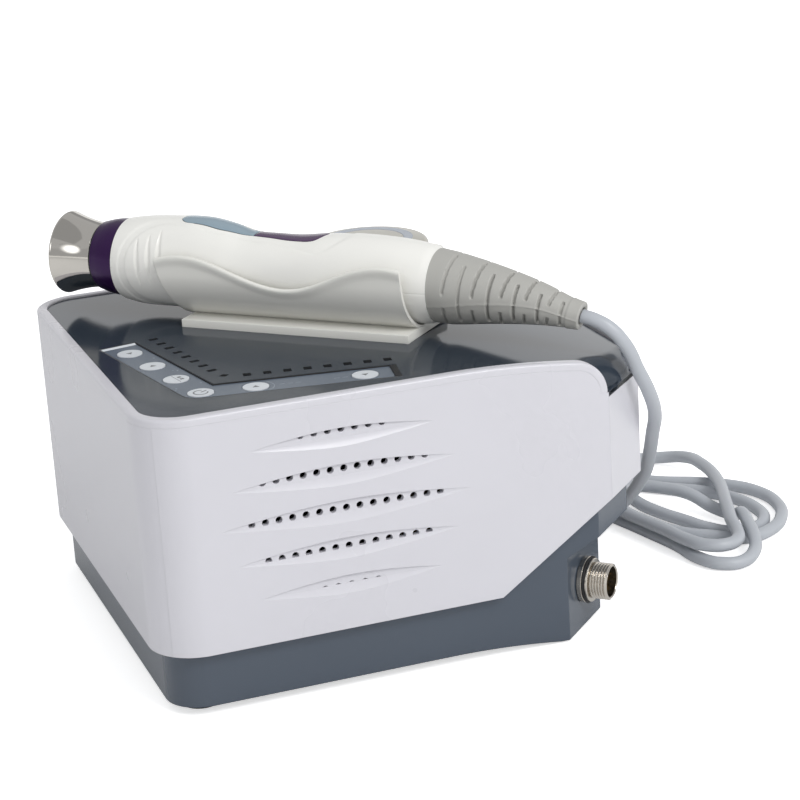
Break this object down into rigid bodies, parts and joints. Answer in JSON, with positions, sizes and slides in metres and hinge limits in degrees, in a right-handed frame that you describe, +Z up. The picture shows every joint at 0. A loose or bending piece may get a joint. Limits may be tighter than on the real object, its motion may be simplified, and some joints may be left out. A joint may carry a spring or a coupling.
{
  "type": "facial toning device",
  "caption": "Tabletop skin-toning console with a corner keypad, a corded handpiece lying in a cradle, a spare disc head in a stand and looped cord behind.",
  "frame": {"origin": "middle of the console's footprint, on the table it stands on", "axes": "+X towards the console's rear, +Y towards its far side away from the viewer, +Z up"},
  "size_m": [0.3979, 0.2904, 0.2066],
  "materials": {
    "white_shell": "smooth glossy white",
    "base_grey": "satin blue-grey",
    "top_grey": "high-gloss blue-grey",
    "overlay_grey": "smooth film",
    "key_white": "smooth translucent white",
    "light_dark": "smoked window",
    "light_red": "clear red lens",
    "rubber_black": "matt rubber",
    "nickel": "bright nickel plate",
    "contact_gold": "gold-plated contacts",
    "black_plastic": "satin black",
    "rocker_red": "smooth",
    "board_green": "solder-masked board",
    "heat_aluminium": "extruded",
    "copper_tape": "taped winding",
    "cradle_white": "smooth warm white",
    "handle_white": "smooth warm white",
    "bell_chrome": "mirror polished",
    "insulator_beige": "smooth",
    "mount_grey": "moulded",
    "collar_purple": "metallic purple lacquer",
    "button_blue": "metallic blue-grey lacquer",
    "window_purple": "metallic dark purple lacquer",
    "relief_grey": "satin soft plastic",
    "cord_grey": "satin grey jacket",
    "spare_beige": "smooth",
    "spare_ring_grey": "smooth",
    "plug_black": "moulded"
  },
  "bodies": {
    "console": {"base_tray": "base_grey", "front_panel": "white_shell", "side_panel_near": "white_shell", "side_panel_far": "white_shell", "rear_panel": "white_shell", "top_bezel": "white_shell", "top_panel": "top_grey", "keypad_overlay": "overlay_grey", "light_windows": "light_dark", "indicator_lights": "light_red", "display_board": "board_green", "cradle": "cradle_white", "head_stand": "white_shell", "front_feet": "rubber_black", "rear_pads": "rubber_black", "foot_screws": "nickel", "port_barrel": "nickel", "port_insert": "black_plastic", "port_pins": "contact_gold", "port_gasket": "rubber_black", "port_nut": "nickel", "socket_barrel": "nickel", "socket_insert": "black_plastic", "socket_gasket": "rubber_black", "socket_nut": "nickel", "mains_inlet": "black_plastic", "switch_frame": "black_plastic", "fuse_holder": "black_plastic", "main_board": "board_green", "rf_board": "board_green", "heat_sink": "heat_aluminium", "transformer": "copper_tape", "fan_frame": "black_plastic", "handpiece_cord": "cord_grey", "plug_body": "plug_black"},
    "handpiece": {"handle_upper": "handle_white", "handle_lower": "handle_white", "bell_electrode": "bell_chrome", "bell_insulator": "insulator_beige", "bell_center": "bell_chrome", "head_mount": "mount_grey", "seal_ring": "rubber_black", "collar": "collar_purple", "handle_window": "window_purple", "handle_board": "board_green", "strain_relief": "relief_grey"},
    "handle_button": {"handle_button": "button_blue"},
    "spare_head": {"spare_housing": "spare_beige", "spare_ring": "spare_ring_grey", "spare_center": "spare_beige"},
    "key_power": {"key_power": "key_white"},
    "key_mode": {"key_mode": "key_white"},
    "key_time_up": {"key_time_up": "key_white"},
    "key_time_down": {"key_time_down": "key_white"},
    "key_level_down": {"key_level_down": "key_white"},
    "key_level_up": {"key_level_up": "key_white"},
    "power_rocker": {"power_rocker": "rocker_red"},
    "fuse_cap": {"fuse_cap": "black_plastic"},
    "plug_nut": {"plug_nut": "nickel"},
    "fan_rotor": {"fan_rotor": "black_plastic"}
  },
  "joints": [
    {"name": "handpiece_lift", "type": "slide", "parent": "console", "child": "handpiece", "axis": [0, 0, 1], "range_m": [0, 0.06]},
    {"name": "handle_button_press", "type": "slide", "parent": "handpiece", "child": "handle_button", "axis": [-0.0173, 0.0173, -0.9997], "range_m": [0, 0.001], "stiffness_N_per_m": 500},
    {"name": "spare_head_lift", "type": "slide", "parent": "console", "child": "spare_head", "axis": [0, 0, 1], "range_m": [0, 0.045]},
    {"name": "key_power_press", "type": "slide", "parent": "console", "child": "key_power", "axis": [0, 0, -1], "range_m": [0, 0.0004], "stiffness_N_per_m": 400},
    {"name": "key_mode_press", "type": "slide", "parent": "console", "child": "key_mode", "axis": [0, 0, -1], "range_m": [0, 0.0004], "stiffness_N_per_m": 400},
    {"name": "key_time_up_press", "type": "slide", "parent": "console", "child": "key_time_up", "axis": [0, 0, -1], "range_m": [0, 0.0004], "stiffness_N_per_m": 400},
    {"name": "key_time_down_press", "type": "slide", "parent": "console", "child": "key_time_down", "axis": [0, 0, -1], "range_m": [0, 0.0004], "stiffness_N_per_m": 400},
    {"name": "key_level_down_press", "type": "slide", "parent": "console", "child": "key_level_down", "axis": [0, 0, -1], "range_m": [0, 0.0004], "stiffness_N_per_m": 400},
    {"name": "key_level_up_press", "type": "slide", "parent": "console", "child": "key_level_up", "axis": [0, 0, -1], "range_m": [0, 0.0004], "stiffness_N_per_m": 400},
    {"name": "power_rocker_tilt", "type": "hinge", "parent": "console", "child": "power_rocker", "pos_m": [0.1071, -0.046, 0.024], "axis": [0, 1, 0], "range_deg": [0, 20]},
    {"name": "fuse_cap_turn", "type": "hinge", "parent": "console", "child": "fuse_cap", "pos_m": [0.1111, 0.044, 0.024], "axis": [1, 0, 0], "range_deg": [0, 90]},
    {"name": "plug_nut_turn", "type": "hinge", "parent": "console", "child": "plug_nut", "pos_m": [0.09559, 0.10349, 0.026], "axis": [0.7071, 0.7071, 0], "continuous": true},
    {"name": "fan_spin", "type": "hinge", "parent": "console", "child": "fan_rotor", "pos_m": [0.1155, 0, 0.10862], "axis": [1, 0, 0], "continuous": true}
  ]
}
